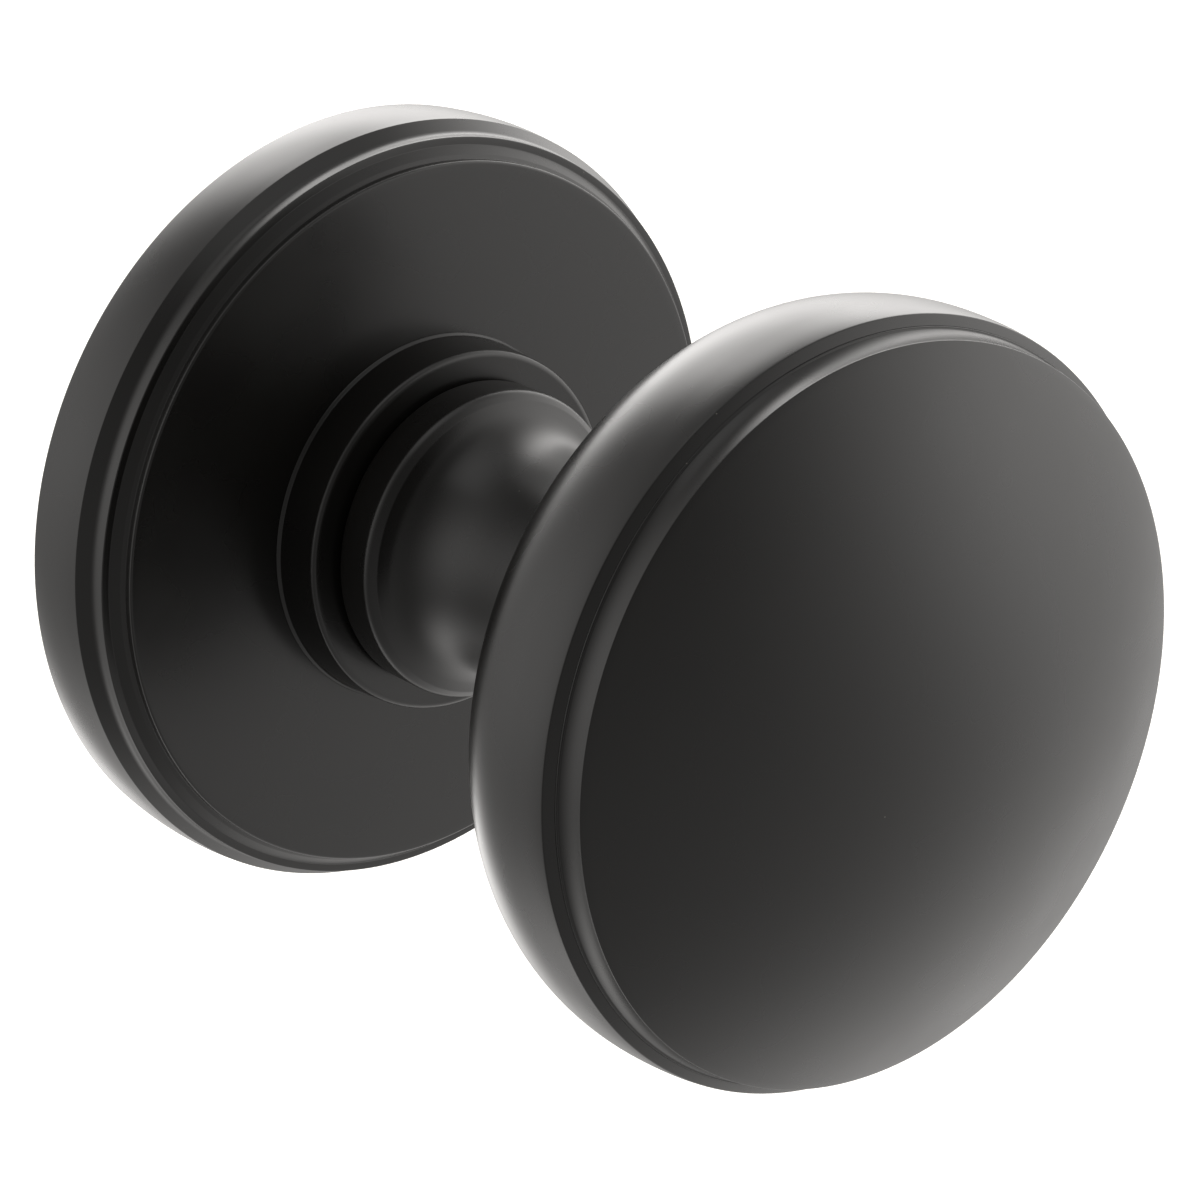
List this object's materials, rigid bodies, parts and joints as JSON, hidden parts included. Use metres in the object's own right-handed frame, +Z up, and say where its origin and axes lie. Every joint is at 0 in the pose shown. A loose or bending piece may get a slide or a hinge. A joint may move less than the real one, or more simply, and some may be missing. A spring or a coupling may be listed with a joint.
{
  "type": "door knob",
  "caption": "Round domed door knob on a waisted neck, turning against a return spring in a moulded round rose, with its spindle and bolt posts.",
  "frame": {"origin": "centre of the rose's back, on the knob's axis, in the plane of the door's face", "axes": "-Y out of the door along the knob's axis, +Y into the door, +Z up, +X to the right of a person facing the knob"},
  "size_m": [0.0662, 0.1049, 0.0662],
  "materials": {
    "satin_black": "satin black coating on brass",
    "zinc_steel": "zinc plated pressed steel",
    "spring_steel": "dark tempered spring steel",
    "cast_brass": "plain cast brass",
    "nylon": "natural moulded nylon",
    "black_oxide": "black oxide on steel"
  },
  "bodies": {
    "rose": {"rose_cover": "satin_black", "rose_collar": "satin_black", "collar_bush": "nylon", "mounting_plate": "zinc_steel", "cassette_housing": "zinc_steel", "cassette_cover": "zinc_steel", "return_spring": "spring_steel", "bolt_post_upper": "zinc_steel", "bolt_post_lower": "zinc_steel", "cassette_screw_1": "zinc_steel", "cassette_screw_2": "zinc_steel", "cassette_screw_3": "zinc_steel", "rose_clip_1": "spring_steel", "rose_clip_2": "spring_steel", "rose_clip_3": "spring_steel", "clip_rivet_1": "zinc_steel", "clip_rivet_2": "zinc_steel", "clip_rivet_3": "zinc_steel"},
    "knob": {"knob_face_cap": "satin_black", "knob_back_shell": "satin_black", "neck": "satin_black", "backing_washer": "zinc_steel", "shank_sleeve": "zinc_steel", "set_screw": "black_oxide", "spindle": "zinc_steel", "spring_cam": "cast_brass", "thrust_washer": "nylon", "retaining_ring": "spring_steel"}
  },
  "joints": [
    {"name": "knob_turn", "type": "hinge", "parent": "rose", "child": "knob", "pos_m": [0, 0, 0], "axis": [0, -1, 0], "range_deg": [-60, 60], "stiffness_Nm_per_rad": 0.4, "deforming": ["return_spring"]}
  ]
}
